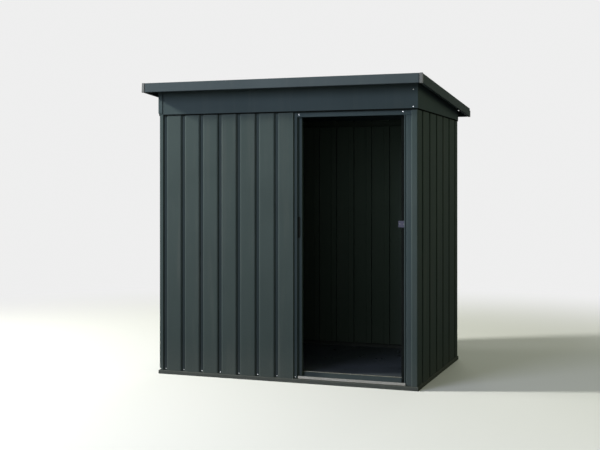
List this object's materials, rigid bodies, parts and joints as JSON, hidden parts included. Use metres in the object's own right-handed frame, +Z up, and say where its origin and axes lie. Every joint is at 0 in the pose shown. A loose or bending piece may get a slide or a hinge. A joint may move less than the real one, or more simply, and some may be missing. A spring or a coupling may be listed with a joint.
{
  "type": "metal tool shed",
  "caption": "Pent-roof metal tool shed in anthracite coated steel, with ribbed walls, deep roof fascia and a sliding door standing open.",
  "frame": {"origin": "on the ground, in the middle of the walls' footprint, midway between the four anchor holes", "axes": "+X right along the front, +Y to the back, +Z up; the front with the door faces -Y"},
  "size_m": [1.95, 1.5943, 1.9961],
  "materials": {
    "coated_steel": "anthracite powder coat, satin",
    "galvanised": "galvanised",
    "bare_metal": "bright, bare",
    "floor_sheet": "dark slate grey, smooth",
    "black_plastic": "matte",
    "corner_plastic": "anthracite, matte",
    "roller_plastic": "white nylon"
  },
  "bodies": {
    "shed": {"back_wall": "coated_steel", "base_rail_back": "coated_steel", "base_rail_door": "coated_steel", "base_rail_front": "coated_steel", "base_rail_left": "coated_steel", "base_rail_right": "coated_steel", "corner_post_back_left": "coated_steel", "corner_post_back_right": "coated_steel", "corner_post_front_left": "coated_steel", "corner_post_front_right": "coated_steel", "door_bottom_track": "coated_steel", "door_frame_stile": "coated_steel", "door_frame_top_rail": "coated_steel", "door_jamb": "coated_steel", "door_top_track": "galvanised", "floor_joists": "galvanised", "floor_panels": "floor_sheet", "front_wall": "coated_steel", "header_back": "coated_steel", "header_corner_cap": "coated_steel", "header_front": "coated_steel", "header_left": "coated_steel", "header_right": "coated_steel", "left_wall": "coated_steel", "lock_keeper": "bare_metal", "right_wall": "coated_steel", "roof_beams": "galvanised", "roof_corners": "corner_plastic", "roof_fascia_back": "coated_steel", "roof_fascia_front": "coated_steel", "roof_fascia_left": "coated_steel", "roof_fascia_right": "coated_steel", "roof_sheet_left": "coated_steel", "roof_sheet_middle": "coated_steel", "roof_sheet_right": "coated_steel", "threshold_strip": "bare_metal", "top_rails": "coated_steel"},
    "door": {"door_guides": "black_plastic", "door_handle": "black_plastic", "door_hangers": "galvanised", "door_panel": "coated_steel", "door_rails": "coated_steel", "door_rollers": "roller_plastic", "door_stile_leading": "coated_steel", "door_stile_trailing": "coated_steel"}
  },
  "joints": [
    {"name": "door_slide", "type": "slide", "parent": "shed", "child": "door", "axis": [1, 0, 0], "range_m": [0, 0.703]}
  ]
}
